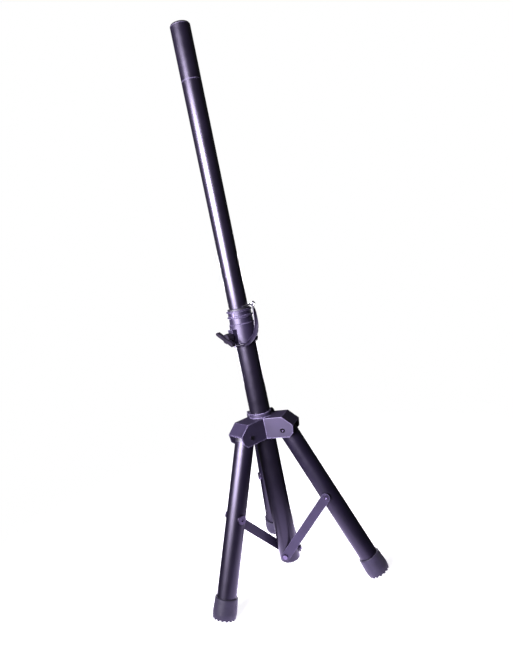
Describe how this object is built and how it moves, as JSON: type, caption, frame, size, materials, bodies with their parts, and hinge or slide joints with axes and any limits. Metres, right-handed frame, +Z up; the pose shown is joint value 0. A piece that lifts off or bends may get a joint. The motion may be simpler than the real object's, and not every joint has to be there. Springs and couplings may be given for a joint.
{
  "type": "tripod speaker stand",
  "caption": "Folding tripod stand with a telescoping pole for a loudspeaker: sliding leg bracket, braced tubular legs with rubber boots, clamp collar with T handle and safety pin.",
  "frame": {"origin": "on the floor, on the axis of the pole, midway between the three feet", "axes": "+Z up along the pole; +Y towards the rear leg; +X towards the right when seen from the front, between the front legs"},
  "size_m": [0.3244, 0.2864, 1.0086],
  "materials": {
    "tube_coat": "satin black powder coat with a violet cast",
    "bar_coat": "satin black powder coat on flat bar",
    "cast_coat": "satin black paint on a casting",
    "boot_rubber": "matte moulded rubber",
    "black_nylon": "matte moulded nylon",
    "handle_plastic": "semi-gloss moulded plastic",
    "strap_plastic": "glossy moulded plastic strap",
    "dark_hardware": "black zinc plated",
    "plated_steel": "zinc plated thread",
    "chrome_wire": "bright chrome"
  },
  "bodies": {
    "base": {"lower_tube": "tube_coat", "tube_plug": "black_nylon", "collar": "cast_coat", "collar_bush": "black_nylon", "clamp_shoe": "black_nylon", "brace_screws": "dark_hardware", "pin_strap": "strap_plastic", "strap_rivet": "dark_hardware"},
    "mast": {"mast_tube": "tube_coat", "mast_cap": "black_nylon", "mast_guide": "black_nylon"},
    "bracket": {"bracket": "cast_coat", "bracket_liner": "black_nylon", "lock_screw": "dark_hardware", "leg_pivots": "dark_hardware"},
    "clamp_handle": {"clamp_screw": "plated_steel", "clamp_handle": "handle_plastic"},
    "safety_pin": {"safety_pin": "chrome_wire"},
    "leg_rear": {"leg_tube_rear": "tube_coat", "leg_plug_rear": "black_nylon", "boot_rear": "boot_rubber", "brace_pin_rear": "dark_hardware"},
    "brace_rear": {"brace_bar_rear": "bar_coat", "brace_rivet_rear": "dark_hardware"},
    "leg_left": {"leg_tube_left": "tube_coat", "leg_plug_left": "black_nylon", "boot_left": "boot_rubber", "brace_pin_left": "dark_hardware"},
    "brace_left": {"brace_bar_left": "bar_coat", "brace_rivet_left": "dark_hardware"},
    "leg_right": {"leg_tube_right": "tube_coat", "leg_plug_right": "black_nylon", "boot_right": "boot_rubber", "brace_pin_right": "dark_hardware"},
    "brace_right": {"brace_bar_right": "bar_coat", "brace_rivet_right": "dark_hardware"}
  },
  "joints": [
    {"name": "mast_slide", "type": "slide", "parent": "base", "child": "mast", "axis": [0, 0, 1], "range_m": [-0.34, 0.03]},
    {"name": "bracket_slide", "type": "slide", "parent": "base", "child": "bracket", "axis": [0, 0, 1], "range_m": [0, 0.04168]},
    {"name": "leg_fold_rear", "type": "hinge", "parent": "bracket", "child": "leg_rear", "pos_m": [0, 0.04405, 0.29159], "axis": [-1, 0, 0], "range_deg": [0, 23.2]},
    {"name": "brace_swing_rear", "type": "hinge", "parent": "base", "child": "brace_rear", "pos_m": [0, 0, 0.0441], "axis": [1, 0, 0], "range_deg": [0, 23.85]},
    {"name": "leg_fold_left", "type": "hinge", "parent": "bracket", "child": "leg_left", "pos_m": [-0.03815, -0.02202, 0.29159], "axis": [0.5, -0.866, 0], "range_deg": [0, 23.2]},
    {"name": "brace_swing_left", "type": "hinge", "parent": "base", "child": "brace_left", "pos_m": [0, 0, 0.0441], "axis": [-0.5, 0.866, 0], "range_deg": [0, 23.85]},
    {"name": "leg_fold_right", "type": "hinge", "parent": "bracket", "child": "leg_right", "pos_m": [0.03815, -0.02202, 0.29159], "axis": [0.5, 0.866, 0], "range_deg": [0, 23.2]},
    {"name": "brace_swing_right", "type": "hinge", "parent": "base", "child": "brace_right", "pos_m": [0, 0, 0.0441], "axis": [-0.5, -0.866, 0], "range_deg": [0, 23.85]},
    {"name": "handle_turn", "type": "hinge", "parent": "base", "child": "clamp_handle", "pos_m": [-0.03121, -0.02185, 0.4725], "axis": [-0.8192, -0.5736, 0], "range_deg": [0, 360]},
    {"name": "pin_pull", "type": "slide", "parent": "base", "child": "safety_pin", "axis": [0.9659, -0.2588, 0], "range_m": [0, 0.02]}
  ],
  "couplings": [
    {"joint": "leg_fold_rear", "follows": "bracket_slide", "rad_per_m": 9.6945},
    {"joint": "brace_swing_rear", "follows": "bracket_slide", "rad_per_m": 9.9548},
    {"joint": "leg_fold_left", "follows": "bracket_slide", "rad_per_m": 9.6945},
    {"joint": "brace_swing_left", "follows": "bracket_slide", "rad_per_m": 9.9548},
    {"joint": "leg_fold_right", "follows": "bracket_slide", "rad_per_m": 9.6945},
    {"joint": "brace_swing_right", "follows": "bracket_slide", "rad_per_m": 9.9548}
  ]
}
